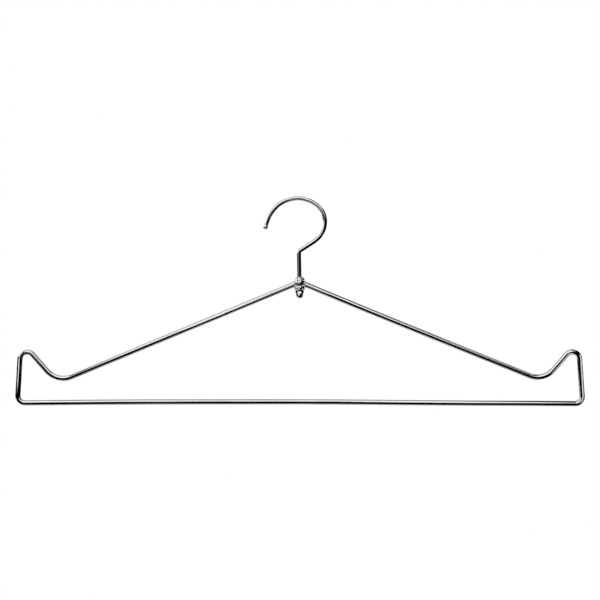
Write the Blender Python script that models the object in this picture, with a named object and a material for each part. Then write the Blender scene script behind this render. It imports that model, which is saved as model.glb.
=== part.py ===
"""Lead apron hanger: a bent wire frame that turns freely below a hook, in metres, +Z up.

The origin is the seat of the rail that carries the hanger, at the top of the hook's inside.
The frame lies in the XZ plane, and the hook swivels about the Z axis.
"""
import math

import bmesh
import bpy
from mathutils import Matrix, Vector

# Stock and fits
FRAME_WIRE_DIAMETER = 0.005
HOOK_ROD_DIAMETER = 0.004
SEAT_GAP = 0.0003
CUT_OVERRUN = 0.002

# Hook, followed from the kink above the stem round to the tip
STEM_RUN = 0.0305
KINK_BEND_RADIUS = 0.0035
LOWER_BEND_RADIUS = 0.043
SIDE_BEND_RADIUS = 0.0223
CROWN_BEND_RADIUS = 0.0323
TIP_RUN = 0.0075
TIP_BALL_DIAMETER = 0.0046
SLOPE_HEADING = math.radians(32.5)
LOWER_BEND_END = math.radians(41.5)
SIDE_BEND_END = math.radians(163)
CROWN_BEND_END = math.radians(253)

# Frame outline, from where the arms' centrelines cross on the swivel axis
ARM_CROSSING_RISE = 0.0006
VALLEY_OUT = 0.2351
VALLEY_DROP = 0.0967
VALLEY_BEND_RADIUS = 0.0208
PEAK_OUT = 0.2697
PEAK_DROP = 0.0572
PEAK_BEND_RADIUS = 0.007
CORNER_OUT = 0.2730
RAIL_DROP = 0.1171
CORNER_BEND_RADIUS = 0.0068

# Swivel, from the top down
UPPER_COLLAR_DIAMETER = 0.010
UPPER_COLLAR_CROWN_DIAMETER = 0.0052
UPPER_COLLAR_HEIGHT = 0.0032
BUSH_DIAMETER = 0.010
BUSH_END_DIAMETER = 0.009
BUSH_HEIGHT = 0.0044
LOWER_COLLAR_DIAMETER = 0.010
LOWER_COLLAR_CROWN_DIAMETER = 0.0076
LOWER_COLLAR_HEIGHT = 0.0034
LOWER_COLLAR_CROWN_HEIGHT = 0.0014
WASHER_DIAMETER = 0.010
WASHER_THICKNESS = 0.0007
EDGE_BREAK = 0.0002

# Cap nut and the stem's threaded end
THREAD_DIAMETER = 0.0036
THREAD_REACH = 0.0052
THREAD_LEAD_IN = 0.0005
NUT_ACROSS_FLATS = 0.007
NUT_HEX_HEIGHT = 0.0032
NUT_HEIGHT = 0.008
NUT_DOME_DIAMETER = 0.0065
NUT_FACE_SHARE = 0.96
NUT_CHAMFER_ANGLE = math.radians(30)
NUT_DRILL_POINT_HEIGHT = 0.0006

# How finely the round forms are cut into facets
ROUND_SIDES = 20
TURNED_SIDES = 36
BEND_STEP = math.radians(6)
KINK_STEP = math.radians(9)
BALL_STEPS = 6
DOME_STEPS = 6

# Places that follow from the sizes above
HOOK_TOP_Z = HOOK_ROD_DIAMETER / 2


def clear_objects():
    """Starts from an empty file."""
    for thing in list(bpy.data.objects):
        bpy.data.objects.remove(thing, do_unlink=True)


def polished_chrome(name, shade, roughness):
    """Bright plating: a pale neutral metal with a low roughness."""
    material = bpy.data.materials.new(name)
    material.use_nodes = True
    shader = material.node_tree.nodes["Principled BSDF"]
    shader.inputs["Base Color"].default_value = (shade, shade, shade, 1)
    shader.inputs["Metallic"].default_value = 1
    shader.inputs["Roughness"].default_value = roughness
    return material


def add_solid(name, form, material, parent):
    """Turns a finished bmesh into a named object, with its faces outwards."""
    bmesh.ops.recalc_face_normals(form, faces=form.faces)
    mesh = bpy.data.meshes.new(name)
    form.to_mesh(mesh)
    form.free()
    mesh.materials.append(material)
    mesh.shade_smooth()
    mesh.set_sharp_from_angle(angle=math.radians(30))
    solid = bpy.data.objects.new(name, mesh)
    bpy.context.collection.objects.link(solid)
    solid.parent = parent
    return solid


def skin_rings(form, rings):
    """Joins a row of vertex rings into a closed skin with a flat face at each end."""
    for lower, upper in zip(rings, rings[1:]):
        for place, vert in enumerate(lower):
            after = (place + 1) % len(lower)
            form.faces.new((vert, lower[after], upper[after], upper[place]))
    form.faces.new(rings[0])
    form.faces.new(rings[-1])


def round_bar(stations):
    """Sweeps a round bar along stations of (centre, radius) that lie in one XZ plane."""
    form = bmesh.new()
    across = Vector((0, 1, 0))
    centres = [centre for centre, radius in stations]
    rings = []
    for place, (centre, radius) in enumerate(stations):
        before = centres[max(place - 1, 0)]
        after = centres[min(place + 1, len(centres) - 1)]
        outward = across.cross(after - before).normalized()
        ring = []
        for side in range(ROUND_SIDES):
            angle = math.tau * side / ROUND_SIDES
            spoke = across * math.cos(angle) + outward * math.sin(angle)
            ring.append(form.verts.new(centre + spoke * radius))
        rings.append(ring)
    skin_rings(form, rings)
    return form


def arc_about(centre, start, turn, step):
    """Points along an arc in the XZ plane; a positive turn runs anticlockwise, seen from the front."""
    pieces = max(1, round(abs(turn) / step))
    spoke = start - centre
    points = []
    for place in range(pieces + 1):
        swing = Matrix.Rotation(-turn * place / pieces, 3, "Y")
        points.append(centre + swing @ spoke)
    return points


def rounded_corner(before, corner, after, radius, step):
    """The arc that rounds one corner of a centreline, from its first tangent point to its last."""
    to_before = (before - corner).normalized()
    to_after = (after - corner).normalized()
    half_angle = to_before.angle(to_after) / 2
    reach = radius / math.tan(half_angle)
    centre = corner + (to_before + to_after).normalized() * (radius / math.sin(half_angle))
    turn = math.pi - 2 * half_angle
    if to_before.cross(to_after).y < 0:
        turn = -turn
    return arc_about(centre, corner + to_before * reach, turn, step)


def heading_vector(heading):
    """Unit vector in the XZ plane, at an angle up from +X."""
    return Vector((math.cos(heading), 0, math.sin(heading)))


def left_bend(start, heading, end_heading, radius):
    """A bend to the left from one heading to another, as the wire former's pin makes it."""
    centre = start + heading_vector(heading + math.pi / 2) * radius
    return arc_about(centre, start, end_heading - heading, BEND_STEP)


def hook_bends():
    """The hook's three bends, each as (heading where it ends, radius)."""
    return (
        (LOWER_BEND_END, LOWER_BEND_RADIUS),
        (SIDE_BEND_END, SIDE_BEND_RADIUS),
        (CROWN_BEND_END, CROWN_BEND_RADIUS),
    )


def travel_to_crown():
    """How far the bends go sideways and up, from the end of the slope to the top of the crown."""
    sideways = 0
    rise = 0
    heading = SLOPE_HEADING
    for end_heading, radius in hook_bends():
        end_heading = min(end_heading, math.pi)
        sideways += radius * (math.sin(end_heading) - math.sin(heading))
        rise += radius * (math.cos(heading) - math.cos(end_heading))
        heading = end_heading
    return sideways, rise


def hook_kink():
    """The corner where the slope leaves the stem, placed so that the crown stands over the stem."""
    sideways, rise = travel_to_crown()
    slope_run = -sideways / math.cos(SLOPE_HEADING)
    kink = Vector((0, 0, HOOK_TOP_Z - rise - slope_run * math.sin(SLOPE_HEADING)))
    return kink, slope_run


def bush_middle_z():
    """Height of the bush's middle, one stem run below the kink."""
    kink, slope_run = hook_kink()
    return kink.z - STEM_RUN


def stack_heights():
    """Bottom of each swivel piece on the stem, each one seat gap from the next."""
    bush = bush_middle_z() - BUSH_HEIGHT / 2
    upper_collar = bush + BUSH_HEIGHT + SEAT_GAP
    lower_collar = bush - SEAT_GAP - LOWER_COLLAR_HEIGHT
    washer = lower_collar - SEAT_GAP - WASHER_THICKNESS
    nut = washer - SEAT_GAP - NUT_HEIGHT
    return {
        "upper_collar": upper_collar,
        "bush": bush,
        "lower_collar": lower_collar,
        "washer": washer,
        "nut": nut,
    }


def bore_diameter(rod_diameter):
    """A bore that clears its rod by one seat gap all round."""
    return rod_diameter + 2 * SEAT_GAP


def hook_stations():
    """The hook's centreline with the bar's radius along it, from the threaded end to the tip."""
    radius = HOOK_ROD_DIAMETER / 2
    thread_radius = THREAD_DIAMETER / 2
    nut_face_z = stack_heights()["nut"] + NUT_HEIGHT
    thread_end_z = nut_face_z - THREAD_REACH
    kink, slope_run = hook_kink()
    slope = heading_vector(SLOPE_HEADING)
    stations = [
        (Vector((0, 0, thread_end_z)), thread_radius - THREAD_LEAD_IN),
        (Vector((0, 0, thread_end_z + THREAD_LEAD_IN)), thread_radius),
        (Vector((0, 0, nut_face_z)), thread_radius),
        (Vector((0, 0, nut_face_z + SEAT_GAP)), radius),
    ]
    stem_foot = stations[-1][0]
    kink_arc = rounded_corner(stem_foot, kink, kink + slope, KINK_BEND_RADIUS, KINK_STEP)
    stations += [(point, radius) for point in kink_arc]
    place = kink + slope * slope_run
    heading = SLOPE_HEADING
    for end_heading, bend_radius in hook_bends():
        bend = left_bend(place, heading, end_heading, bend_radius)
        if heading != SLOPE_HEADING:
            bend = bend[1:]
        stations += [(point, radius) for point in bend]
        place = bend[-1]
        heading = end_heading
    return stations + tip_stations(place, heading_vector(heading))


def tip_stations(start, along):
    """The last straight run, swelling into the small ball that blunts the hook's end."""
    rod = HOOK_ROD_DIAMETER / 2
    ball = TIP_BALL_DIAMETER / 2
    centre = start + along * (TIP_RUN - ball)
    neck_angle = math.asin(min(1, rod / ball))
    stations = []
    for place in range(BALL_STEPS + 1):
        angle = neck_angle + (math.pi - neck_angle) * place / (BALL_STEPS + 1)
        stations.append((centre - along * (ball * math.cos(angle)), ball * math.sin(angle)))
    return stations


def frame_corners():
    """The right half of the frame's centreline corners with their bend radii, from the swivel out."""
    crossing_z = bush_middle_z() + ARM_CROSSING_RISE
    return (
        (Vector((0, 0, crossing_z)), 0),
        (Vector((VALLEY_OUT, 0, crossing_z - VALLEY_DROP)), VALLEY_BEND_RADIUS),
        (Vector((PEAK_OUT, 0, crossing_z - PEAK_DROP)), PEAK_BEND_RADIUS),
        (Vector((CORNER_OUT, 0, crossing_z - RAIL_DROP)), CORNER_BEND_RADIUS),
    )


def mirrored(point):
    """The same point on the frame's left half."""
    return Vector((-point.x, point.y, point.z))


def cope_radius():
    """Radius of the round that the arms' ends are cut to, one seat gap clear of the bush."""
    return BUSH_DIAMETER / 2 + SEAT_GAP


def arm_start(crossing, valley):
    """The arm's raw end, inside the round that its saddle cut follows."""
    return crossing + (valley - crossing).normalized() * (cope_radius() / 2)


def frame_stations():
    """The frame's centreline, from the right arm's end round the rail to the left arm's end."""
    corners = list(frame_corners())
    corners += [(mirrored(point), radius) for point, radius in reversed(corners)]
    points = [arm_start(corners[0][0], corners[1][0])]
    for place in range(1, len(corners) - 1):
        before = corners[place - 1][0]
        corner, radius = corners[place]
        after = corners[place + 1][0]
        points += rounded_corner(before, corner, after, radius, BEND_STEP)
    points.append(mirrored(points[0]))
    return [(point, FRAME_WIRE_DIAMETER / 2) for point in points]


def turned_ring(profile, bottom_z):
    """Spins a closed profile of (radius, height) about the swivel axis, one level bottom_z up."""
    form = bmesh.new()
    rings = []
    for radius, height in profile:
        ring = []
        for side in range(TURNED_SIDES):
            angle = math.tau * side / TURNED_SIDES
            spot = Vector((radius * math.cos(angle), radius * math.sin(angle), bottom_z + height))
            ring.append(form.verts.new(spot))
        rings.append(ring)
    for inner, outer in zip(rings, rings[1:] + rings[:1]):
        for place, vert in enumerate(inner):
            after = (place + 1) % len(inner)
            form.faces.new((vert, inner[after], outer[after], outer[place]))
    return form


def turned_bar(radius, low, high):
    """A plain round on the swivel axis, as fine as the turned pieces."""
    form = bmesh.new()
    bmesh.ops.create_cone(
        form,
        cap_ends=True,
        segments=TURNED_SIDES,
        radius1=radius,
        radius2=radius,
        depth=high - low,
        matrix=Matrix.Translation((0, 0, (low + high) / 2)),
    )
    return form


def domed_shoulder(wide, narrow, low, high):
    """The arc, centred on the axis, that draws a turned piece in from its wide rim to its narrow one."""
    centre = (narrow**2 + high**2 - wide**2 - low**2) / (2 * (high - low))
    radius = math.hypot(wide, low - centre)
    first = math.atan2(low - centre, wide)
    last = math.atan2(high - centre, narrow)
    points = []
    for place in range(DOME_STEPS + 1):
        angle = first + (last - first) * place / DOME_STEPS
        points.append((radius * math.cos(angle), centre + radius * math.sin(angle)))
    return points


def add_hook(parent):
    """The bent rod: stem with its threaded end, kink, slope, crown and blunt tip."""
    return add_solid("hook", round_bar(hook_stations()), polished_chrome("hook_chrome", 0.78, 0.08), parent)


def add_upper_collar(parent):
    """Domed collar pressed on the stem above the bush, which keeps the frame from riding up."""
    bore = bore_diameter(HOOK_ROD_DIAMETER) / 2
    outer = UPPER_COLLAR_DIAMETER / 2
    crown = UPPER_COLLAR_CROWN_DIAMETER / 2
    profile = [(bore, 0), (outer - EDGE_BREAK, 0)]
    profile += domed_shoulder(outer, crown, EDGE_BREAK, UPPER_COLLAR_HEIGHT)
    profile.append((bore, UPPER_COLLAR_HEIGHT))
    form = turned_ring(profile, stack_heights()["upper_collar"])
    return add_solid("upper_collar", form, polished_chrome("upper_collar_chrome", 0.76, 0.1), parent)


def add_swivel_bush(parent):
    """Barrel shaped bush that joins the arms and turns on the stem."""
    bore = bore_diameter(HOOK_ROD_DIAMETER) / 2
    outer = BUSH_DIAMETER / 2
    end = BUSH_END_DIAMETER / 2
    half = BUSH_HEIGHT / 2
    upper_half = domed_shoulder(outer, end, half, BUSH_HEIGHT)
    lower_half = [(radius, BUSH_HEIGHT - height) for radius, height in reversed(upper_half[1:])]
    profile = [(bore, 0)] + lower_half + upper_half + [(bore, BUSH_HEIGHT)]
    form = turned_ring(profile, stack_heights()["bush"])
    return add_solid("swivel_bush", form, polished_chrome("bush_chrome", 0.7, 0.14), parent)


def add_lower_collar(parent):
    """Collar that the bush rests on, rounded at the top so that it clears the arms' undersides."""
    bore = bore_diameter(HOOK_ROD_DIAMETER) / 2
    outer = LOWER_COLLAR_DIAMETER / 2
    crown = LOWER_COLLAR_CROWN_DIAMETER / 2
    shoulder_z = LOWER_COLLAR_HEIGHT - LOWER_COLLAR_CROWN_HEIGHT
    profile = [(bore, 0), (outer - EDGE_BREAK, 0), (outer, EDGE_BREAK)]
    profile += domed_shoulder(outer, crown, shoulder_z, LOWER_COLLAR_HEIGHT)
    profile.append((bore, LOWER_COLLAR_HEIGHT))
    form = turned_ring(profile, stack_heights()["lower_collar"])
    return add_solid("lower_collar", form, polished_chrome("lower_collar_chrome", 0.78, 0.1), parent)


def add_flat_washer(parent):
    """Thin washer between the lower collar and the cap nut."""
    bore = bore_diameter(HOOK_ROD_DIAMETER) / 2
    outer = WASHER_DIAMETER / 2
    profile = (
        (bore, 0),
        (outer - EDGE_BREAK, 0),
        (outer, EDGE_BREAK),
        (outer, WASHER_THICKNESS - EDGE_BREAK),
        (outer - EDGE_BREAK, WASHER_THICKNESS),
        (bore, WASHER_THICKNESS),
    )
    form = turned_ring(profile, stack_heights()["washer"])
    return add_solid("flat_washer", form, polished_chrome("washer_chrome", 0.7, 0.16), parent)


def hexagon_form(low, high):
    """Six-sided bar with a flat to the front and a corner to each side."""
    corner_radius = NUT_ACROSS_FLATS / math.sqrt(3)
    form = bmesh.new()
    rings = []
    for z in (low, high):
        ring = []
        for side in range(6):
            across = corner_radius * heading_vector(math.tau * side / 6)
            ring.append(form.verts.new((across.x, across.z, z)))
        rings.append(ring)
    skin_rings(form, rings)
    return form


def hexagon_chamfer_form(low, high):
    """The turned blank whose two cones take the sharp corners off the hexagon's ends."""
    corner_radius = NUT_ACROSS_FLATS / math.sqrt(3)
    face_radius = NUT_ACROSS_FLATS / 2 * NUT_FACE_SHARE
    bevel = (corner_radius - face_radius) * math.tan(NUT_CHAMFER_ANGLE)
    levels = (
        (face_radius, low),
        (corner_radius, low + bevel),
        (corner_radius, high - bevel),
        (face_radius, high),
    )
    return round_bar([(Vector((0, 0, z)), radius) for radius, z in levels])


def add_cap_nut(parent):
    """Domed nut: a hexagon with a closed cap below it and a blind hole for the thread."""
    bottom_z = stack_heights()["nut"]
    face_z = bottom_z + NUT_HEIGHT
    dome = NUT_DOME_DIAMETER / 2
    hole = bore_diameter(THREAD_DIAMETER) / 2
    hole_depth = THREAD_REACH + SEAT_GAP
    hexagon_z = face_z - NUT_HEX_HEIGHT
    material = polished_chrome("nut_chrome", 0.78, 0.08)
    nut = add_solid("cap_nut", hexagon_form(hexagon_z, face_z), material, parent)
    blank = add_solid("cap_nut_chamfer_guide", hexagon_chamfer_form(hexagon_z, face_z), material, parent)
    combine(nut, blank, "INTERSECT")
    cap = add_solid("cap_nut_dome_guide", dome_form(dome, bottom_z, face_z), material, parent)
    combine(nut, cap, "UNION")
    drill = add_solid("cap_nut_drill_guide", drill_form(hole, hole_depth, face_z), material, parent)
    combine(nut, drill, "DIFFERENCE")
    return nut


def dome_form(radius, bottom_z, face_z):
    """The nut's cap: a short round with a half-sphere below it, up to the middle of the hexagon."""
    top_z = face_z - NUT_HEX_HEIGHT / 2
    stations = [(Vector((0, 0, top_z)), radius)]
    for place in range(BALL_STEPS + 1):
        angle = math.pi / 2 * place / (BALL_STEPS + 1)
        level = bottom_z + radius - radius * math.sin(angle)
        stations.append((Vector((0, 0, level)), radius * math.cos(angle)))
    return round_bar(stations)


def drill_form(radius, depth, face_z):
    """The blind hole with the shallow cone that its drill leaves."""
    stations = [
        (Vector((0, 0, face_z + CUT_OVERRUN)), radius),
        (Vector((0, 0, face_z - depth)), radius),
        (Vector((0, 0, face_z - depth - NUT_DRILL_POINT_HEIGHT)), radius - NUT_DRILL_POINT_HEIGHT),
    ]
    return round_bar(stations)


def combine(solid, tool, operation):
    """Cuts or joins a solid with a hidden tool object."""
    tool.hide_render = True
    tool.display_type = "WIRE"
    change = solid.modifiers.new(operation.lower() + "_" + tool.name, "BOOLEAN")
    change.operation = operation
    change.solver = "EXACT"
    change.object = tool


def cope_form():
    """The round cutter that saddles each arm's end, standing on the swivel axis."""
    middle = bush_middle_z()
    reach = FRAME_WIRE_DIAMETER + BUSH_HEIGHT
    return turned_bar(cope_radius(), middle - reach, middle + reach)


def add_frame_wire(parent):
    """One bent wire: arm, ear, rail, ear and arm, its two ends saddle-cut to the bush."""
    material = polished_chrome("frame_chrome", 0.78, 0.08)
    wire = add_solid("frame_wire", round_bar(frame_stations()), material, parent)
    cope = add_solid("frame_wire_cope_guide", cope_form(), material, parent)
    combine(wire, cope, "DIFFERENCE")
    return wire


def build():
    """Makes every piece; the frame's pieces hang from an empty on the swivel axis."""
    clear_objects()
    hook_carrier = bpy.data.objects.new("hook_carrier", None)
    frame_swivel = bpy.data.objects.new("frame_swivel", None)
    frame_swivel.parent = hook_carrier
    for empty in (hook_carrier, frame_swivel):
        bpy.context.collection.objects.link(empty)
    add_hook(hook_carrier)
    add_upper_collar(hook_carrier)
    add_lower_collar(hook_carrier)
    add_flat_washer(hook_carrier)
    add_cap_nut(hook_carrier)
    add_swivel_bush(frame_swivel)
    add_frame_wire(frame_swivel)
    bpy.context.view_layer.update()


build()
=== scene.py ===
"""Dresses the lead apron hanger and hangs it in a plain studio.

Metres throughout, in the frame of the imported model: the rail seat is the origin, +Z is up,
the wire lies in the XZ plane, and the frame turns about the Z axis.
"""

import math

import bmesh
import bpy
from mathutils import Matrix, Vector


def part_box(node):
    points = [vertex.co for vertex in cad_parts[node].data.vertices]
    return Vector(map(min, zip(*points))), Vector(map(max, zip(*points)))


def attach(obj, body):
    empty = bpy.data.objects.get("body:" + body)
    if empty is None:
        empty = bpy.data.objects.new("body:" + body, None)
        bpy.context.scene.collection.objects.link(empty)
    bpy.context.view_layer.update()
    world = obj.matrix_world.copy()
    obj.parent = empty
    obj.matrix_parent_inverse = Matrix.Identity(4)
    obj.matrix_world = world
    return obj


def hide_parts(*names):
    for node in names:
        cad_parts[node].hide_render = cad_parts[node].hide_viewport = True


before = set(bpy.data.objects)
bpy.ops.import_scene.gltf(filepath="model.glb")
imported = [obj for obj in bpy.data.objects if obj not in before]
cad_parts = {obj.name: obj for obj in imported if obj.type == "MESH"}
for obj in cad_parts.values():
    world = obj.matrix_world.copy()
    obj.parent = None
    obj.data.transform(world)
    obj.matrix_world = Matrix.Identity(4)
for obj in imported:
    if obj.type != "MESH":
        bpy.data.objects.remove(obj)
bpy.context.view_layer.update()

# Stock and fits
FRAME_WIRE_DIAMETER = 0.005
HOOK_ROD_DIAMETER = 0.004
FIT_GAP = 0.0003
EDGE_EASE = 0.0002
EASE_LIMIT_SHARE = 0.45

# Hook, followed from the kink above the stem round to the tip
KINK_BEND_RADIUS = 0.0035
LOWER_BEND_RADIUS = 0.043
SIDE_BEND_RADIUS = 0.0223
CROWN_BEND_RADIUS = 0.0323
TIP_RUN = 0.0075
TIP_BALL_DIAMETER = 0.0046
TIP_NECK_RUN = 0.0012
SLOPE_HEADING = math.radians(32.5)
LOWER_BEND_END = math.radians(41.5)
SIDE_BEND_END = math.radians(163)
CROWN_BEND_END = math.radians(253)
THREAD_DIAMETER = 0.0036
THREAD_REACH = 0.0052

# Frame outline, from where the arms' centrelines cross on the swivel axis
ARM_CROSSING_RISE = 0.0006
VALLEY_OUT = 0.2351
VALLEY_DROP = 0.0967
VALLEY_BEND_RADIUS = 0.0208
PEAK_OUT = 0.2697
PEAK_DROP = 0.0572
PEAK_BEND_RADIUS = 0.007
CORNER_OUT = 0.2730
RAIL_DROP = 0.1171
CORNER_BEND_RADIUS = 0.0068

# What hand bending leaves: slack bows, corners pulled off their nominal place, an uneven crown
BOW_BEND_RADIUS = 9.0
RIGHT_ARM_SAG_SHARE = 0.3
RIGHT_ARM_SAG = 0.0005
RAIL_BOWS = ((0.150, 0.0001), (0.010, 0.0014), (-0.160, 0.0012))
RIGHT_PULLS = ((0.0008, 0.0008), (0, 0), (0.0010, -0.0004))
LEFT_PULLS = ((-0.0006, -0.0005), (0, 0), (0, 0.0002))
WAVER_LENGTH = 0.06
FRAME_WAVER = 0.00025
FRAME_WAVER_SEED = 3.0
HOOK_WAVER = 0.0
HOOK_WAVER_SEED = 5.0
HOOK_LEAN = 0.0006
HOOK_LOOP_CENTRE = Vector((0.0029, 0, -0.0207))
CROWN_PUSHES = ((60, 45, -0.00085), (140, 28, 0.0003))

# Swivel pieces
UPPER_COLLAR_CROWN_RADIUS = 0.0026
BUSH_END_RADIUS = 0.0045
LOWER_COLLAR_CROWN_RADIUS = 0.0038
LOWER_COLLAR_CROWN_HEIGHT = 0.0014
LOWER_COLLAR_FOOT_EASE = 0.0004
WASHER_TILT = math.radians(1.6)

# Weld beads
WELD_BEAD_DIAMETER = 0.0011
WELD_STAND_OFF = 0.0001
WELD_START = math.radians(-20)
WELD_SWEEP = math.radians(220)
WELD_END_SHARE = math.sqrt(0.02)
WELD_TAPER_POWER = 6
WELD_WAVER = 0.00012
WELD_WAVER_LENGTH = 0.0012
WELD_WAVER_SEED = 11.0
WELD_STEPS = 60

# Cap nut
NUT_ACROSS_FLATS = 0.007
NUT_HALF_SIDE_ANGLE = math.pi / 6
NUT_HEX_HEIGHT = 0.0032
NUT_DOME_RADIUS = 0.00325
NUT_FACE_RADIUS = 0.00336
NUT_SEAT_RADIUS = 0.0031
NUT_SEAT_HEIGHT = 0.0002
NUT_SEAT_EASE = 0.000025
NUT_EDGE_EASE = 0.0001
NUT_CORNER_ROUND = 0.00025
NUT_CHAMFER_ANGLE = math.radians(30)
NUT_DRILL_POINT_HEIGHT = 0.0006

# Fineness of the smooth meshes
BEND_STEP = math.radians(2)
WIRE_STEP = 0.0006
WIRE_SIDES = 32
ROD_STEP = 0.0006
ROD_SIDES = 40
BEAD_SIDES = 16
POINTS_IN_A_BEND = 48
TURNED_SIDES = 144
DOME_STEPS = 16
BALL_STEPS = 32
EASE_STEPS = 4
CRISP_EDGE_ANGLE = math.radians(50)

# Plating, with the scales of its patterns per metre
CLEAN_CHROME = (0.86, 0.865, 0.87, 1)
HAZY_CHROME = (0.74, 0.742, 0.745, 1)
TINT_SHARE = 0.5
HAZE_SCALE = 55
HAZE_FROM = 0.42
HAZE_TO = 0.7
HAZE_DULLING = 0.035
FILM_SCALE = 420
FILM_RIPPLE_STRENGTH = 0.05
FILM_RIPPLE_HEIGHT = 0.0001
PIT_SCALE = 320
PIT_FROM = 0.02
PIT_TO = 0.07
PIT_DULLING = 0.25
LINE_DULLING = 0.03
LINE_HEIGHT = 0.00004
DRAWING_LINE_SCALES = (9000, 9000, 60)
TURNING_LINE_SCALE = 7000
WELD_RIPPLE_SCALE = 1800
RUB_FROM = 0.004
RUB_TO = 0.016

# Studio, with its angles in degrees
STUDIO_CENTRE = Vector((0, 0, -0.1))
CAMERA_PLACE = (0.0004, -1.371, -0.0965)
LENS_LENGTH = 85
SENSOR_WIDTH = 36
LAMP_DISTANCE = 1.4
LAMP_SIZE = 0.6
LAMPS = (
    # name, azimuth, elevation, level
    ("left_key_lamp", -35, 45, 2.4),
    ("right_key_lamp", 30, 50, 2.0),
)
ROOM_LEVEL = 0.75
FLOOR_Z = -1.35
FLOOR_RADIUS = 2.2
FLOOR_FADE_START_SHARE = 0.4
FLOOR_FADE_END_SHARE = 0.97
FLOOR_DARKER = (0.86, 0.86, 0.86, 1)
FLOOR_PALER = (0.9, 0.9, 0.9, 1)
FLOOR_MOTTLE_SCALE = 9
CARD_STEPS = 40
CARDS = (
    # name, left, right, low, high, lean, distance, fade, shade
    ("swivel_fill", -42, 7, -5.5, 5.5, 0, 0.20, 1.5, 1.2),
    ("right_side_strip", 83, 89.5, -20, -8, 0, 0.292, 1, 0.8),
    ("left_side_strip", -66, -42, -11.5, -5.5, 0, 0.50, 1.5, 1.2),
    ("front_low_flag", -98, 100, -83, -1, 0, 1.00, 3, 0.0),
    ("right_front_flag", 5, 36, -12, 14, 0, 1.00, 3, 0.0),
    ("right_top_panel", 58, 112, 43, 53, 0, 1.00, 3, 0.7),
    ("right_low_flag", 30, 172, -60, 44, 0, 1.02, 4, 0.0),
    ("back_flag", 150, 215, -60, 66, 0, 1.30, 6, 0.05),
    ("camera_flag", -14, 12, -6, 24, 0, 1.04, 4, 0.0),
    ("left_camera_flag", -34, -12, -8, 13, 0, 1.04, 4, 0.0),
    ("left_grey", -60, -10, -12, 18, 0, 1.06, 4, 0.34),
    ("left_side_flag", -132, -56, -16, 8, 0, 1.05, 4, 0.0),
    ("left_high_flag", -90, -36, 26, 50, -0.8, 1.06, 4, 0.05),
    ("right_high_flag", 34, 94, 40, 74, 0, 1.08, 5, 0.0),
    ("left_low_panel", -125, -98, -48, -14, 0, 1.12, 6, 0.45),
    ("left_front_light", -40, -20, 28, 56, 0, 1.02, 4, 1.2),
    ("right_front_light", 4, 28, 15, 34, 0, 0.99, 3, 1.2),
    ("right_high_light", 2, 34, 30, 46, 0, 0.98, 4, 1.2),
    ("left_panel", -145, -78, 8, 48, 0, 1.25, 6, 1.2),
    ("left_back_flag", -160, -126, -30, 8, 0, 1.26, 6, 0.0),
    ("back_right_grey", 112, 172, 38, 72, 0, 1.27, 6, 0.04),
    ("back_left_grey", -175, -115, 30, 72, 0, 1.27, 6, 0.2),
    ("front_top_grey", -60, 120, 58, 74, 0, 1.28, 6, 0.45),
    ("top_panel", -180, 180, 76, 90, 0, 1.30, 4, 0.5),
    ("table_panel", -180, 180, -90, -81, 0, 1.10, 3, 0.2),
)

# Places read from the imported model
rod_radius = HOOK_ROD_DIAMETER / 2
wire_radius = FRAME_WIRE_DIAMETER / 2
hook_top_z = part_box("hook")[1].z - rod_radius
bush_low, bush_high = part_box("swivel_bush")
nut_low, nut_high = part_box("cap_nut")
crossing_z = (bush_low.z + bush_high.z) / 2 + ARM_CROSSING_RISE
bore_radius = rod_radius + FIT_GAP
cope_radius = bush_high.x + FIT_GAP


# Lines and arcs in the XZ plane

def heading_vector(heading):
    """Unit vector at an angle up from +X."""
    return Vector((math.cos(heading), 0, math.sin(heading)))


def arc_about(centre, start, turn):
    """Points along an arc; a positive turn runs anticlockwise, seen from the front."""
    pieces = max(1, round(abs(turn) / BEND_STEP))
    spoke = start - centre
    points = []
    for place in range(pieces + 1):
        swing = Matrix.Rotation(-turn * place / pieces, 3, "Y")
        points.append(centre + swing @ spoke)
    return points


def straight(start, end):
    """Points from start to end, about one rod step apart, without the start."""
    pieces = max(1, round((end - start).length / ROD_STEP))
    return [start.lerp(end, place / pieces) for place in range(1, pieces + 1)]


def left_bend(start, heading, end_heading, radius):
    """A bend to the left from one heading to another, without its start."""
    centre = start + heading_vector(heading + math.pi / 2) * radius
    return arc_about(centre, start, end_heading - heading)[1:]


# Hook

def hook_bends():
    """The hook's three bends, each as (heading where it ends, radius)."""
    return (
        (LOWER_BEND_END, LOWER_BEND_RADIUS),
        (SIDE_BEND_END, SIDE_BEND_RADIUS),
        (CROWN_BEND_END, CROWN_BEND_RADIUS),
    )


def hook_kink():
    """The corner above the stem and the length of the slope, with the crown over the stem."""
    sideways = 0
    rise = 0
    heading = SLOPE_HEADING
    for end_heading, radius in hook_bends():
        end_heading = min(end_heading, math.pi)
        sideways += radius * (math.sin(end_heading) - math.sin(heading))
        rise += radius * (math.cos(heading) - math.cos(end_heading))
        heading = end_heading
    slope_run = -sideways / math.cos(SLOPE_HEADING)
    kink_z = hook_top_z - rise - slope_run * math.sin(SLOPE_HEADING)
    return Vector((0, 0, kink_z)), slope_run


def threaded_end():
    """The stem's thinner end inside the nut, as (place, radius)."""
    radius = THREAD_DIAMETER / 2
    end_z = nut_high.z - THREAD_REACH
    return [
        (Vector((0, 0, end_z)), radius - FIT_GAP),
        (Vector((0, 0, end_z + FIT_GAP)), radius),
        (Vector((0, 0, nut_high.z)), radius),
    ]


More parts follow.
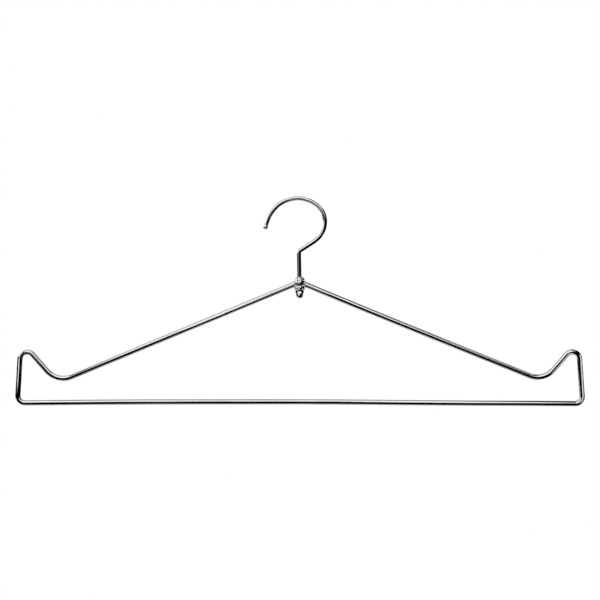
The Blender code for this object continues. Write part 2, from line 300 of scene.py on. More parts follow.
def hook_route():
    """The rod's centreline with its radius along it, from the threaded end to the tip."""
    kink, slope_run = hook_kink()
    shank_start = Vector((0, 0, nut_high.z + FIT_GAP))
    reach = KINK_BEND_RADIUS * math.tan((math.pi / 2 - SLOPE_HEADING) / 2)
    bend_start = kink - Vector((0, 0, reach))
    centre = bend_start + Vector((KINK_BEND_RADIUS, 0, 0))
    points = [shank_start] + straight(shank_start, bend_start)
    points += arc_about(centre, bend_start, SLOPE_HEADING - math.pi / 2)[1:]
    points += straight(points[-1], kink + heading_vector(SLOPE_HEADING) * slope_run)
    heading = SLOPE_HEADING
    for end_heading, radius in hook_bends():
        points += left_bend(points[-1], heading, end_heading, radius)
        heading = end_heading
    route = threaded_end() + [(point, rod_radius) for point in points]
    route += hook_tip(points[-1], heading_vector(heading))
    return [(hand_bent(point, kink.z), radius) for point, radius in route]


def hook_tip(start, along):
    """The last straight run and the small ball that blunts the rod's end."""
    ball = TIP_BALL_DIAMETER / 2
    centre = start + along * (TIP_RUN - ball)
    neck_angle = math.asin(rod_radius / ball)
    neck_reach = TIP_RUN - ball - ball * math.cos(neck_angle)
    run = straight(start, start + along * (neck_reach - TIP_NECK_RUN))
    route = [(point, rod_radius) for point in run]
    for place in range(BALL_STEPS):
        angle = neck_angle + (math.pi - neck_angle) * place / BALL_STEPS
        route.append((centre - along * (ball * math.cos(angle)), ball * math.sin(angle)))
    return route


def hand_bent(point, kink_z):
    """A point of the hook, with the stem leaning left in its bores and the crown a little uneven.

    Each of CROWN_PUSHES is (where round the loop, how far it reaches to each side, push outward),
    the first two in degrees.
    """
    share = (point.z - nut_high.z) / (kink_z - nut_high.z)
    moved = point - Vector((HOOK_LEAN * min(1, max(0, share)), 0, 0))
    spoke = point - HOOK_LOOP_CENTRE
    angle = math.degrees(math.atan2(spoke.z, spoke.x))
    for middle, reach, push in CROWN_PUSHES:
        away = min(1, abs(angle - middle) / reach)
        moved += spoke.normalized() * (push * math.cos(away * math.pi / 2)**2)
    return moved


# Frame

def frame_corners(half):
    """One half's corners with their bend radii, from the swivel out; half is 1 or -1.

    RIGHT_PULLS and LEFT_PULLS say how far outward and up each corner was pulled.
    """
    nominal = (
        (VALLEY_OUT, VALLEY_DROP, VALLEY_BEND_RADIUS),
        (PEAK_OUT, PEAK_DROP, PEAK_BEND_RADIUS),
        (CORNER_OUT, RAIL_DROP, CORNER_BEND_RADIUS),
    )
    pulls = RIGHT_PULLS if half > 0 else LEFT_PULLS
    corners = [(Vector((0, 0, crossing_z)), 0)]
    for (out, drop, radius), (pull, lift) in zip(nominal, pulls):
        place = Vector((half * (out + pull), 0, crossing_z - drop + lift))
        corners.append((place, radius))
    return corners


def arm_direction(half):
    """Unit vector down one arm."""
    corners = frame_corners(half)
    return (corners[1][0] - corners[0][0]).normalized()


def arm_end(half):
    """The arm's square-cut end, just outside its saddle cut."""
    along = arm_direction(half)
    reach = (cope_radius + wire_radius * abs(along.z)) / abs(along.x)
    return Vector((0, 0, crossing_z)) + along * reach


def frame_route():
    """The frame's corners and bows with their bend radii, from the right arm's end to the left's.

    RAIL_BOWS says where along it the rail is bowed, and how far up from its nominal height.
    """
    right = frame_corners(1)[1:]
    left = frame_corners(-1)[1:]
    sag = arm_end(1).lerp(right[0][0], RIGHT_ARM_SAG_SHARE) - Vector((0, 0, RIGHT_ARM_SAG))
    route = [(arm_end(1), 0), (sag, BOW_BEND_RADIUS)] + right
    for across, rise in RAIL_BOWS:
        route.append((Vector((across, 0, crossing_z - RAIL_DROP + rise)), BOW_BEND_RADIUS))
    return route + left[::-1] + [(arm_end(-1), 0)]


def weld_route(half):
    """Over the top of one arm, along the line where it meets the bush."""
    along = arm_direction(half)
    reach = wire_radius + WELD_STAND_OFF
    out = cope_radius + WELD_STAND_OFF
    route = []
    for place in range(WELD_STEPS + 1):
        share = place / WELD_STEPS
        angle = WELD_START + WELD_SWEEP * share
        aside = Vector((0, math.cos(angle), 0)) * reach
        upward = Vector((-half * along.z, 0, abs(along.x))) * (math.sin(angle) * reach)
        spot = Vector((0, 0, crossing_z)) + aside + upward
        spot += along * ((half * math.sqrt(out**2 - spot.y**2) - spot.x) / along.x)
        taper = math.sqrt(1 - (2 * share - 1)**WELD_TAPER_POWER)
        route.append((spot, 0, max(WELD_END_SHARE, taper)))
    return route


# Node trees

def add_node(tree, kind, settings, inputs):
    """Adds a node with its settings, and sets or links inputs named by label or identifier."""
    node = tree.nodes.new(kind)
    for key, value in settings.items():
        setattr(node, key, value)
    for key, value in inputs.items():
        socket = next(one for one in node.inputs if key in (one.identifier, one.name))
        if isinstance(value, bpy.types.NodeSocket):
            tree.links.new(value, socket)
        else:
            socket.default_value = value
    return node


def computed(tree, operation, first, second):
    """A sum, product or other step on two numbers."""
    inputs = {"Value": first, "Value_001": second}
    return add_node(tree, "ShaderNodeMath", {"operation": operation}, inputs).outputs["Value"]


def times(tree, first, second):
    """One number times another."""
    return computed(tree, "MULTIPLY", first, second)


def plus(tree, first, second):
    """One number and another added."""
    return computed(tree, "ADD", first, second)


# Geometry tree for drawn wire and rod

def new_geometry_tree(name, inputs):
    """A geometry tree with a geometry input and output and the named inputs."""
    tree = bpy.data.node_groups.new(name, "GeometryNodeTree")
    face = tree.interface
    face.new_socket("Geometry", in_out="INPUT", socket_type="NodeSocketGeometry")
    for label, kind in inputs:
        face.new_socket(label, in_out="INPUT", socket_type=kind)
    face.new_socket("Geometry", in_out="OUTPUT", socket_type="NodeSocketGeometry")
    return tree


def captured(tree, geometry, kind, value):
    """Captures a field on a geometry; gives the geometry and the field's sockets."""
    node = tree.nodes.new("GeometryNodeCaptureAttribute")
    node.capture_items.new(kind, "Kept")
    tree.links.new(geometry, node.inputs["Geometry"])
    tree.links.new(value, node.inputs["Kept"])
    return node.outputs["Geometry"], node.outputs["Kept"]


def drawn_wire_tree():
    """Bends a row of corners, lets the line waver a little and skins it as a round wire."""
    tree = new_geometry_tree("drawn_wire", (
        ("Diameter", "NodeSocketFloat"),
        ("Sides", "NodeSocketInt"),
        ("Bend the Corners", "NodeSocketBool"),
        ("Points in a Bend", "NodeSocketInt"),
        ("Step", "NodeSocketFloat"),
        ("Waver", "NodeSocketFloat"),
        ("Waver Length", "NodeSocketFloat"),
        ("Seed", "NodeSocketFloat"),
        ("Finish", "NodeSocketMaterial"),
    ))
    given = tree.nodes.new("NodeGroupInput").outputs
    spine, spine_run = wire_spine(tree, given)
    skin, section_spot = wire_skin(tree, given, spine)
    marked = marked_skin(tree, skin, section_spot, spine_run)
    smooth = add_node(tree, "GeometryNodeSetShadeSmooth", {}, {"Geometry": marked})
    real = add_node(tree, "GeometryNodeRealizeInstances", {}, {"Geometry": smooth.outputs["Geometry"]})
    plated = add_node(tree, "GeometryNodeSetMaterial", {}, {
        "Geometry": real.outputs["Geometry"],
        "Material": given["Finish"],
    })
    tree.links.new(plated.outputs["Geometry"], tree.nodes.new("NodeGroupOutput").inputs["Geometry"])
    return tree


def wire_spine(tree, given):
    """The wire's bent, wavering centreline, and how far along it each point is."""
    bend = add_node(tree, "GeometryNodeInputNamedAttribute", {"data_type": "FLOAT"}, {
        "Name": "bend_radius",
    })
    path = add_node(tree, "GeometryNodeMeshToCurve", {}, {"Mesh": given["Geometry"]})
    bent = add_node(tree, "GeometryNodeFilletCurve", {"mode": "POLY"}, {
        "Curve": path.outputs["Curve"],
        "Count": given["Points in a Bend"],
        "Radius": bend.outputs["Attribute"],
        "Limit Radius": True,
    })
    even = add_node(tree, "GeometryNodeResampleCurve", {"mode": "LENGTH"}, {
        "Curve": bent.outputs["Curve"],
        "Length": given["Step"],
    })
    line = add_node(tree, "GeometryNodeSwitch", {"input_type": "GEOMETRY"}, {
        "Switch": given["Bend the Corners"],
        "False": path.outputs["Curve"],
        "True": even.outputs["Curve"],
    })
    wavering = wavered(tree, given, line.outputs["Output"])
    run = tree.nodes.new("GeometryNodeSplineParameter").outputs["Length"]
    return captured(tree, wavering, "FLOAT", run)


def wavered(tree, given, line):
    """Moves the line off its true course by a slow noise, as hand bending leaves it."""
    noise = add_node(tree, "ShaderNodeTexNoise", {"noise_dimensions": "4D"}, {
        "W": given["Seed"],
        "Scale": computed(tree, "DIVIDE", 1.0, given["Waver Length"]),
        "Detail": 1.0,
    })
    centred = add_node(tree, "ShaderNodeVectorMath", {"operation": "SUBTRACT"}, {
        "Vector": noise.outputs["Color"],
        "Vector_001": (0.5, 0.5, 0.5),
    })
    offset = add_node(tree, "ShaderNodeVectorMath", {"operation": "SCALE"}, {
        "Vector": centred.outputs["Vector"],
        "Scale": given["Waver"],
    })
    moved = add_node(tree, "GeometryNodeSetPosition", {}, {
        "Geometry": line,
        "Offset": offset.outputs["Vector"],
    })
    return moved.outputs["Geometry"]


def wire_skin(tree, given, spine):
    """A round skin along the centreline, and each point's place in the round section."""
    share = add_node(tree, "GeometryNodeInputNamedAttribute", {"data_type": "FLOAT"}, {
        "Name": "thickness_share",
    })
    circle = add_node(tree, "GeometryNodeCurvePrimitiveCircle", {"mode": "RADIUS"}, {
        "Resolution": given["Sides"],
        "Radius": computed(tree, "DIVIDE", given["Diameter"], 2.0),
    })
    spot = tree.nodes.new("GeometryNodeInputPosition").outputs["Position"]
    section, section_spot = captured(tree, circle.outputs["Curve"], "VECTOR", spot)
    skin = add_node(tree, "GeometryNodeCurveToMesh", {}, {
        "Curve": spine,
        "Profile Curve": section,
        "Scale": share.outputs["Attribute"],
        "Fill Caps": True,
    })
    return skin.outputs["Mesh"], section_spot


def marked_skin(tree, mesh, section_spot, spine_run):
    """Stores where each point lies in the round section and how far along the wire it is."""
    parts = add_node(tree, "ShaderNodeSeparateXYZ", {}, {"Vector": section_spot})
    joined = add_node(tree, "ShaderNodeCombineXYZ", {}, {
        "X": parts.outputs["X"],
        "Y": parts.outputs["Y"],
        "Z": spine_run,
    })
    store = add_node(tree, "GeometryNodeStoreNamedAttribute", {"data_type": "FLOAT_VECTOR"}, {
        "Geometry": mesh,
        "Name": "wire_space",
        "Value": joined.outputs["Vector"],
    })
    return store.outputs["Geometry"]


def wire_along(name, tree, route, sizes):
    """Runs the wire tree on a route of (place, bend radius, thickness share) and bakes the mesh."""
    mesh = bpy.data.meshes.new(name)
    links = [(place, place + 1) for place in range(len(route) - 1)]
    mesh.from_pydata([place for place, bend, share in route], links, [])
    bends = mesh.attributes.new("bend_radius", "FLOAT", "POINT")
    bends.data.foreach_set("value", [bend for place, bend, share in route])
    shares = mesh.attributes.new("thickness_share", "FLOAT", "POINT")
    shares.data.foreach_set("value", [share for place, bend, share in route])
    piece = bpy.data.objects.new(name, mesh)
    bpy.context.collection.objects.link(piece)
    change = piece.modifiers.new("drawn_wire", "NODES")
    change.node_group = tree
    for item in tree.interface.items_tree:
        if item.in_out == "INPUT" and item.name in sizes:
            change[item.identifier] = sizes[item.name]
    scene_now = bpy.context.evaluated_depsgraph_get()
    baked = bpy.data.meshes.new_from_object(piece.evaluated_get(scene_now), depsgraph=scene_now)
    piece.modifiers.remove(change)
    piece.data = baked
    baked.name = name
    return piece


# Turned pieces

def add_object(name, form, material):
    """Turns a finished bmesh into an object of one material."""
    mesh = bpy.data.meshes.new(name)
    form.to_mesh(mesh)
    form.free()
    mesh.materials.append(material)
    thing = bpy.data.objects.new(name, mesh)
    bpy.context.collection.objects.link(thing)
    return thing


def add_turned_piece(name, form, material):
    """Turns a finished bmesh into a smooth piece with its crisp edges kept."""
    bmesh.ops.recalc_face_normals(form, faces=form.faces)
    piece = add_object(name, form, material)
    piece.data.shade_smooth()
    piece.data.set_sharp_from_angle(angle=CRISP_EDGE_ANGLE)
    return piece


def eased(corners, closed):
    """Rounds off a profile's corners; each is (radius, height, how far back the rounding starts)."""
    points = []
    count = len(corners)
    for place, (radius, height, ease) in enumerate(corners):
        corner = Vector((radius, height))
        at_open_end = not closed and place in (0, count - 1)
        if ease == 0 or at_open_end:
            points.append(corner)
            continue
        before = Vector(corners[place - 1][:2]) - corner
        after = Vector(corners[(place + 1) % count][:2]) - corner
        ease = min(ease, before.length * EASE_LIMIT_SHARE, after.length * EASE_LIMIT_SHARE)
        first = corner + before.normalized() * ease
        last = corner + after.normalized() * ease
        for step in range(EASE_STEPS + 1):
            share = step / EASE_STEPS
            points.append(first.lerp(corner, share).lerp(corner.lerp(last, share), share))
    return points


def spun(columns, closed):
    """Joins one profile column for each angle into a closed skin round the swivel axis."""
    form = bmesh.new()
    poles = {}
    grid = []
    for side, column in enumerate(columns):
        angle = math.tau * side / len(columns)
        verts = []
        for place, point in enumerate(column):
            if point.x == 0:
                if place not in poles:
                    poles[place] = form.verts.new((0, 0, point.y))
                verts.append(poles[place])
            else:
                spot = (point.x * math.cos(angle), point.x * math.sin(angle), point.y)
                verts.append(form.verts.new(spot))
        grid.append(verts)
    rows = len(columns[0]) if closed else len(columns[0]) - 1
    for verts, others in zip(grid, grid[1:] + grid[:1]):
        for row in range(rows):
            after = (row + 1) % len(verts)
            around = []
            for vert in (verts[row], others[row], others[after], verts[after]):
                if vert not in around:
                    around.append(vert)
            form.faces.new(around)
    return form


def turned_ring(corners):
    """A turned ring with the same closed profile all the way round."""
    return spun([eased(corners, True)] * TURNED_SIDES, True)


def domed_shoulder(wide, narrow, low, high):
    """The arc, centred on the axis, that draws a turned piece in from its wide rim to its narrow one.

    Only its corner at the narrow rim is eased.
    """
    centre = (narrow**2 + high**2 - wide**2 - low**2) / (2 * (high - low))
    radius = math.hypot(wide, low - centre)
    first = math.atan2(low - centre, wide)
    last = math.atan2(high - centre, narrow)
    points = []
    for place in range(DOME_STEPS + 1):
        angle = first + (last - first) * place / DOME_STEPS
        ease = EDGE_EASE if place == DOME_STEPS else 0
        points.append((radius * math.cos(angle), centre + radius * math.sin(angle), ease))
    return points


def upper_collar_form():
    """Domed collar above the arms."""
    low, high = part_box("upper_collar")
    corners = [(bore_radius, low.z, EDGE_EASE), (high.x - EDGE_EASE, low.z, EDGE_EASE)]
    corners += domed_shoulder(high.x, UPPER_COLLAR_CROWN_RADIUS, low.z + EDGE_EASE, high.z)
    return turned_ring(corners + [(bore_radius, high.z, EDGE_EASE)])


def bush_form():
    """Barrel bush that the arms are welded to."""
    middle = (bush_low.z + bush_high.z) / 2
    upper = domed_shoulder(bush_high.x, BUSH_END_RADIUS, middle, bush_high.z)
    lower = [(radius, 2 * middle - height, ease) for radius, height, ease in reversed(upper[1:])]
    corners = [(bore_radius, bush_low.z, EDGE_EASE)] + lower + upper
    return turned_ring(corners + [(bore_radius, bush_high.z, EDGE_EASE)])


def lower_collar_form():
    """Collar below the arms, rounded at its top."""
    low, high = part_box("lower_collar")
    shoulder_z = high.z - LOWER_COLLAR_CROWN_HEIGHT
    corners = [(bore_radius, low.z, EDGE_EASE), (high.x, low.z, LOWER_COLLAR_FOOT_EASE)]
    corners += domed_shoulder(high.x, LOWER_COLLAR_CROWN_RADIUS, shoulder_z, high.z)
    return turned_ring(corners + [(bore_radius, high.z, EDGE_EASE)])


def washer_form():
    """Thin stamped washer, lying a little askew between the collar and the nut."""
    low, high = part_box("flat_washer")
    corners = [
        (bore_radius, low.z, EDGE_EASE),
        (high.x, low.z, EDGE_EASE),
        (high.x, high.z, EDGE_EASE),
        (bore_radius, high.z, EDGE_EASE),
    ]
    form = turned_ring(corners)
    middle = Vector((0, 0, (low.z + high.z) / 2))
    tilt = Matrix.Rotation(WASHER_TILT, 3, "Y")
    bmesh.ops.rotate(form, verts=form.verts, cent=middle, matrix=tilt)
    return form


def hexagon_reach(angle):
    """How far the nut's rounded hexagon reaches at an angle, with a flat to the front."""
    from_flat = (angle - NUT_HALF_SIDE_ANGLE) % (2 * NUT_HALF_SIDE_ANGLE)
    off = min(from_flat, 2 * NUT_HALF_SIDE_ANGLE - from_flat)
    apothem = NUT_ACROSS_FLATS / 2
    flat_half = (apothem - NUT_CORNER_ROUND) * math.tan(NUT_HALF_SIDE_ANGLE)
    if apothem * math.tan(off) <= flat_half:
        return apothem / math.cos(off)
    centre = (apothem - NUT_CORNER_ROUND) / math.cos(NUT_HALF_SIDE_ANGLE)
    aside = NUT_HALF_SIDE_ANGLE - off
    inside = NUT_CORNER_ROUND**2 - (centre * math.sin(aside))**2
    return centre * math.cos(aside) + math.sqrt(max(0, inside))


def nut_column(angle):
    """The cap nut's profile at one angle, from the bottom of its blind hole round to its dome."""
    reach = hexagon_reach(angle)
    bevel = (reach - NUT_FACE_RADIUS) * math.tan(NUT_CHAMFER_ANGLE)
    hole = THREAD_DIAMETER / 2 + FIT_GAP
    hole_low = nut_high.z - THREAD_REACH - FIT_GAP
    hex_low = nut_high.z - NUT_HEX_HEIGHT
    seat_z = nut_high.z + NUT_SEAT_HEIGHT
    corners = [
        (0, hole_low - NUT_DRILL_POINT_HEIGHT, 0),
        (hole, hole_low, NUT_EDGE_EASE),
        (hole, nut_high.z - FIT_GAP, NUT_EDGE_EASE),
        (hole + FIT_GAP, seat_z, NUT_EDGE_EASE),
        (NUT_SEAT_RADIUS, seat_z, NUT_SEAT_EASE),
        (NUT_SEAT_RADIUS, nut_high.z, NUT_SEAT_EASE),
        (NUT_FACE_RADIUS, nut_high.z, NUT_EDGE_EASE),
        (reach, nut_high.z - bevel, NUT_EDGE_EASE),
        (reach, hex_low + bevel, NUT_EDGE_EASE),
        (NUT_FACE_RADIUS, hex_low, NUT_EDGE_EASE),
        (NUT_DOME_RADIUS, hex_low, NUT_EDGE_EASE),
    ]
    centre = nut_low.z + NUT_DOME_RADIUS
    for place in range(DOME_STEPS + 1):
        lift = math.pi / 2 * place / DOME_STEPS
        radius = NUT_DOME_RADIUS * math.cos(lift) if place < DOME_STEPS else 0
        corners.append((radius, centre - NUT_DOME_RADIUS * math.sin(lift), 0))
    return eased(corners, False)


def cap_nut_form():
    """Domed hexagon nut with chamfered corners, a raised seat and a blind hole."""
    angles = [math.tau * side / TURNED_SIDES for side in range(TURNED_SIDES)]
    return spun([nut_column(angle) for angle in angles], False)


# Finishes

def ranged(tree, value, low, high, new_low, new_high):
    """Stretches a number from one range to another, with soft ends."""
    node = add_node(tree, "ShaderNodeMapRange", {"interpolation_type": "SMOOTHSTEP"}, {
        "Value": value,
        "From Min": low,
        "From Max": high,
        "To Min": new_low,
        "To Max": new_high,
    })
    return node.outputs["Result"]


def noise_at(tree, place, scale, detail):
    """Fractal noise at a place."""
    inputs = {"Vector": place, "Scale": scale, "Detail": detail}
    return add_node(tree, "ShaderNodeTexNoise", {}, inputs).outputs["Fac"]


def object_place(tree):
    """The point's place on the piece, in metres."""
    return tree.nodes.new("ShaderNodeTexCoord").outputs["Object"]


def stretched(tree, place, scales):
    """A place with each axis scaled on its own."""
    return add_node(tree, "ShaderNodeMapping", {}, {"Vector": place, "Scale": scales}).outputs["Vector"]


def far_from_origin(tree, place):
    """How far a place lies from the origin."""
    inputs = {"Vector": place}
    return add_node(tree, "ShaderNodeVectorMath", {"operation": "LENGTH"}, inputs).outputs["Value"]


def far_from_axis(tree, place):
    """How far a place lies from the vertical axis."""
    return far_from_origin(tree, stretched(tree, place, (1, 1, 0)))


def blended_colour(tree, share, first, second):
    """A colour between two, by a share."""
    inputs = {"Factor_Float": share, "A_Color": first, "B_Color": second}
    blend = add_node(tree, "ShaderNodeMix", {"data_type": "RGBA"}, inputs)
    return next(one for one in blend.outputs if one.identifier == "Result_Color")


def drawing_lines(tree):
    """Fine lines along a drawn wire, from its own length and section."""
    space = add_node(tree, "ShaderNodeAttribute", {"attribute_name": "wire_space"}, {})
    return noise_at(tree, stretched(tree, space.outputs["Vector"], DRAWING_LINE_SCALES), 1, detail=3)


def turning_lines(tree):
    """Fine rings round the swivel axis, as a lathe tool leaves them."""
    place = object_place(tree)
    height = add_node(tree, "ShaderNodeSeparateXYZ", {}, {"Vector": place}).outputs["Z"]
    rings = add_node(tree, "ShaderNodeCombineXYZ", {}, {"X": far_from_axis(tree, place), "Z": height})
    return noise_at(tree, rings.outputs["Vector"], TURNING_LINE_SCALE, detail=3)


def weld_ripples(tree):
    """The small uneven ripples of a weld bead, softened by the plating."""
    return noise_at(tree, object_place(tree), WELD_RIPPLE_SCALE, detail=2)


def chrome_plate(name, lines_of, gloss, line_depth, rub):
    """Bright plating with its base metal's lines, soft patches of haze and a few fine pits.

    gloss is the roughness of the cleanest plating, line_depth how strongly the lines show
    through it, and rub how much duller it is where a rail rubs it, near the seat.
    """
    material = bpy.data.materials.new(name)
    material.use_nodes = True
    tree = material.node_tree
    place = object_place(tree)
    lines = lines_of(tree)
    film = noise_at(tree, place, FILM_SCALE, detail=3)
    clouds = noise_at(tree, place, HAZE_SCALE, detail=4)
    haze = ranged(tree, clouds, HAZE_FROM, HAZE_TO, 0, 1)
    pit = add_node(tree, "ShaderNodeTexVoronoi", {"feature": "F1"}, {"Vector": place, "Scale": PIT_SCALE})
    pits = ranged(tree, pit.outputs["Distance"], PIT_FROM, PIT_TO, 1, 0)
    worn = ranged(tree, far_from_origin(tree, place), RUB_FROM, RUB_TO, rub, 0)
    roughness = plus(tree, times(tree, haze, HAZE_DULLING), gloss)
    roughness = plus(tree, roughness, times(tree, lines, LINE_DULLING))
    roughness = plus(tree, roughness, times(tree, pits, PIT_DULLING))
    roughness = plus(tree, roughness, times(tree, worn, film))
    tint = times(tree, plus(tree, haze, pits), TINT_SHARE)
    ripple = add_node(tree, "ShaderNodeBump", {}, {
        "Height": film,
        "Strength": FILM_RIPPLE_STRENGTH,
        "Distance": FILM_RIPPLE_HEIGHT,
    })
    grain = add_node(tree, "ShaderNodeBump", {}, {
        "Height": lines,
        "Strength": line_depth,
        "Distance": LINE_HEIGHT,
        "Normal": ripple.outputs["Normal"],
    })
    shader = tree.nodes["Principled BSDF"]
    shader.inputs["Metallic"].default_value = 1
    tree.links.new(blended_colour(tree, tint, CLEAN_CHROME, HAZY_CHROME), shader.inputs["Base Color"])
    tree.links.new(roughness, shader.inputs["Roughness"])
    tree.links.new(grain.outputs["Normal"], shader.inputs["Normal"])
    return material


# The hanger's pieces

def add_frame_wire(tree, finish):
    """The bent frame, with each arm's end saddled to the bush."""
    route = [(place, bend, 1) for place, bend in frame_route()]
    piece = wire_along("bent_frame_wire", tree, route, {
        "Diameter": FRAME_WIRE_DIAMETER,
        "Sides": WIRE_SIDES,
        "Bend the Corners": True,
        "Points in a Bend": POINTS_IN_A_BEND,
        "Step": WIRE_STEP,
        "Waver": FRAME_WAVER,
        "Waver Length": WAVER_LENGTH,
        "Seed": FRAME_WAVER_SEED,
        "Finish": finish,
    })
    verts = piece.data.vertices
    for half, ring in ((1, verts[:WIRE_SIDES]), (-1, verts[-WIRE_SIDES:])):
        along = arm_direction(half)
        for vert in ring:
            saddle = half * math.sqrt(cope_radius**2 - vert.co.y**2)
            vert.co += along * ((saddle - vert.co.x) / along.x)
    return piece


def add_hook_rod(tree, finish):
    """The hook: stem, kink, slope, crown and blunt tip."""
    route = [(place, 0, radius / rod_radius) for place, radius in hook_route()]
    return wire_along("hook_rod", tree, route, {
        "Diameter": HOOK_ROD_DIAMETER,
        "Sides": ROD_SIDES,
        "Bend the Corners": False,
        "Points in a Bend": POINTS_IN_A_BEND,
        "Step": ROD_STEP,
        "Waver": HOOK_WAVER,
        "Waver Length": WAVER_LENGTH,
        "Seed": HOOK_WAVER_SEED,
        "Finish": finish,
    })


def add_weld_bead(name, half, tree, finish):
    """The small plated weld bead that joins one arm to the bush."""
    return wire_along(name, tree, weld_route(half), {
        "Diameter": WELD_BEAD_DIAMETER,
        "Sides": BEAD_SIDES,
        "Bend the Corners": False,
        "Points in a Bend": POINTS_IN_A_BEND,
        "Step": ROD_STEP,
        "Waver": WELD_WAVER,
        "Waver Length": WELD_WAVER_LENGTH,
        "Seed": WELD_WAVER_SEED + half,
        "Finish": finish,
    })


def add_pieces():
    """Makes every piece, hides the node it stands for and sets what it moves with."""
    tree = drawn_wire_tree()
    wire_chrome = chrome_plate("drawn_wire_chrome", drawing_lines, gloss=0.02, line_depth=0.12, rub=0.04)
    rod_chrome = chrome_plate("hook_rod_chrome", drawing_lines, gloss=0.02, line_depth=0.12, rub=0.3)
    turned_chrome = chrome_plate("turned_chrome", turning_lines, gloss=0.07, line_depth=0.4, rub=0)
    weld_chrome = chrome_plate("weld_chrome", weld_ripples, gloss=0.16, line_depth=0.8, rub=0)
    nut_chrome = chrome_plate("cap_nut_chrome", turning_lines, gloss=0.02, line_depth=0.08, rub=0)
    wire = add_frame_wire(tree, wire_chrome)
    rod = add_hook_rod(tree, rod_chrome)
    right_weld = add_weld_bead("right_arm_weld", 1, tree, weld_chrome)
    left_weld = add_weld_bead("left_arm_weld", -1, tree, weld_chrome)
    bush = add_turned_piece("barrel_bush", bush_form(), turned_chrome)
    upper = add_turned_piece("domed_collar", upper_collar_form(), turned_chrome)
    lower = add_turned_piece("rounded_collar", lower_collar_form(), turned_chrome)
    washer = add_turned_piece("thin_washer", washer_form(), turned_chrome)
    nut = add_turned_piece("domed_cap_nut", cap_nut_form(), nut_chrome)
    for piece, node in (
        (wire, "frame_wire"),
        (rod, "hook"),
        (bush, "swivel_bush"),
        (upper, "upper_collar"),
        (lower, "lower_collar"),
        (washer, "flat_washer"),
        (nut, "cap_nut"),
    ):
        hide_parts(node)
    for piece in (wire, bush, right_weld, left_weld):
        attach(piece, "wire_frame")
    for piece in (rod, upper, lower, washer, nut):
        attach(piece, "hanging_hook")


# Studio

def direction(azimuth, elevation):
    """Unit vector from the hanger; degrees from the camera's side towards +X, and up."""
    turn = math.radians(azimuth)
    lift = math.radians(elevation)
    return Vector((math.sin(turn) * math.cos(lift), -math.cos(turn) * math.cos(lift), math.sin(lift)))


def bare_material(name):
    """A material whose node tree is still empty."""
    material = bpy.data.materials.new(name)
    material.use_nodes = True
    material.node_tree.nodes.clear()
    return material


def show_between(tree, share, first, second):
    """Shows a blend of two shaders, by a share."""
    inputs = {"Fac": share, "Shader": first, "Shader_001": second}
    blend = add_node(tree, "ShaderNodeMixShader", {}, inputs)
    add_node(tree, "ShaderNodeOutputMaterial", {}, {"Surface": blend.outputs["Shader"]})


def card_surface(name, shade):
    """An even card of one shade that fades out at its edges."""
    material = bare_material(name)
    tree = material.node_tree
    clear = add_node(tree, "ShaderNodeBsdfTransparent", {}, {})
    glow = add_node(tree, "ShaderNodeEmission", {}, {"Color": (1, 1, 1, 1), "Strength": shade})
    inner = add_node(tree, "ShaderNodeAttribute", {"attribute_name": "inner"}, {})
    show_between(tree, inner.outputs["Fac"], clear.outputs["BSDF"], glow.outputs["Emission"])
    return material


def hang_card(name, left, right, low, high, lean, distance, fade, shade):
    """A curved card round the hanger, seen only in its plating.

    It spans from left to right in azimuth and from low to high in elevation; lean is how many
    degrees it climbs for each degree to the right, and fade is the width of its soft edge.
    """
    form = bmesh.new()
    inner = form.verts.layers.float.new("inner")
    grid = []
    for row in range(CARD_STEPS + 1):
        up = low + (high - low) * row / CARD_STEPS
        line = []
        for column in range(CARD_STEPS + 1):
            across = left + (right - left) * column / CARD_STEPS
            climb = lean * (across - (left + right) / 2)
            vert = form.verts.new(STUDIO_CENTRE + direction(across, up + climb) * distance)
            edge = min(across - left, right - across, up - low, high - up)
            share = min(1, edge / fade)
            vert[inner] = share * share * (3 - 2 * share)
            line.append(vert)
        grid.append(line)
    for lower, upper in zip(grid, grid[1:]):
        for place in range(CARD_STEPS):
            form.faces.new((lower[place], lower[place + 1], upper[place + 1], upper[place]))
    card = add_object(name, form, card_surface(name, shade))
    card.visible_camera = False
    card.visible_diffuse = False
    card.visible_shadow = False


def add_soft_lamp(name, azimuth, elevation, level):
    """A square soft lamp that points at the hanger; level is its brightness as a surface."""
    lamp = bpy.data.lights.new(name, "AREA")
    lamp.shape = "SQUARE"
    lamp.size = LAMP_SIZE
    lamp.energy = level * math.pi * LAMP_SIZE**2
    offset = direction(azimuth, elevation) * LAMP_DISTANCE
    holder = bpy.data.objects.new(name, lamp)
    holder.location = STUDIO_CENTRE + offset
    holder.rotation_euler = offset.to_track_quat("Z", "Y").to_euler()
    holder.visible_glossy = False
    holder.visible_camera = False
    bpy.context.collection.objects.link(holder)


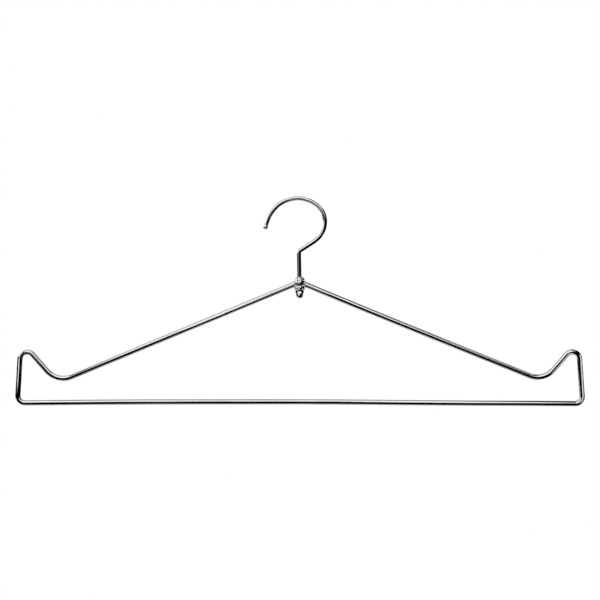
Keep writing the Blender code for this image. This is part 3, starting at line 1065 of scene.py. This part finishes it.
def add_white_world():
    """White all round for the camera and for reflections, and a plain level for lighting."""
    world = bpy.data.worlds.new("white_studio")
    world.use_nodes = True
    tree = world.node_tree
    tree.nodes.clear()
    rays = tree.nodes.new("ShaderNodeLightPath").outputs
    seen = computed(tree, "MAXIMUM", rays["Is Camera Ray"], rays["Is Glossy Ray"])
    seen = computed(tree, "MAXIMUM", seen, rays["Is Transmission Ray"])
    level = ranged(tree, seen, 0, 1, ROOM_LEVEL, 1)
    glow = add_node(tree, "ShaderNodeBackground", {}, {"Color": (1, 1, 1, 1), "Strength": level})
    add_node(tree, "ShaderNodeOutputWorld", {}, {"Surface": glow.outputs["Background"]})
    bpy.context.scene.world = world


def floor_surface():
    """Pale floor that keeps the hanger's shadow, melts into the white at its rim and hides from below."""
    material = bare_material("pale_floor")
    tree = material.node_tree
    place = object_place(tree)
    fade_start = FLOOR_FADE_START_SHARE * FLOOR_RADIUS
    fade_end = FLOOR_FADE_END_SHARE * FLOOR_RADIUS
    rim = ranged(tree, far_from_axis(tree, place), fade_start, fade_end, 0, 1)
    below = tree.nodes.new("ShaderNodeNewGeometry").outputs["Backfacing"]
    mottle = noise_at(tree, place, FLOOR_MOTTLE_SCALE, detail=3)
    colour = blended_colour(tree, mottle, FLOOR_DARKER, FLOOR_PALER)
    matt = add_node(tree, "ShaderNodeBsdfDiffuse", {}, {"Color": colour})
    clear = add_node(tree, "ShaderNodeBsdfTransparent", {}, {})
    unseen = computed(tree, "MAXIMUM", rim, below)
    show_between(tree, unseen, matt.outputs["BSDF"], clear.outputs["BSDF"])
    return material


def add_floor():
    """A round floor well below the hanging frame."""
    form = bmesh.new()
    bmesh.ops.create_circle(form, cap_ends=True, segments=TURNED_SIDES, radius=FLOOR_RADIUS)
    bmesh.ops.translate(form, verts=form.verts, vec=(0, 0, FLOOR_Z))
    add_object("studio_floor", form, floor_surface())


def add_camera():
    """Square on to the frame's plane, level, far enough back for the whole rail."""
    lens = bpy.data.cameras.new("front_camera")
    lens.lens = LENS_LENGTH
    lens.sensor_width = SENSOR_WIDTH
    camera = bpy.data.objects.new("front_camera", lens)
    camera.location = CAMERA_PLACE
    camera.rotation_euler = (math.pi / 2, 0, 0)
    bpy.context.collection.objects.link(camera)
    bpy.context.scene.camera = camera


add_camera()
add_pieces()
for card_row in CARDS:
    hang_card(*card_row)
for lamp_row in LAMPS:
    add_soft_lamp(*lamp_row)
add_white_world()
add_floor()
bpy.context.scene.view_settings.view_transform = "Standard"

bpy.context.view_layer.update()
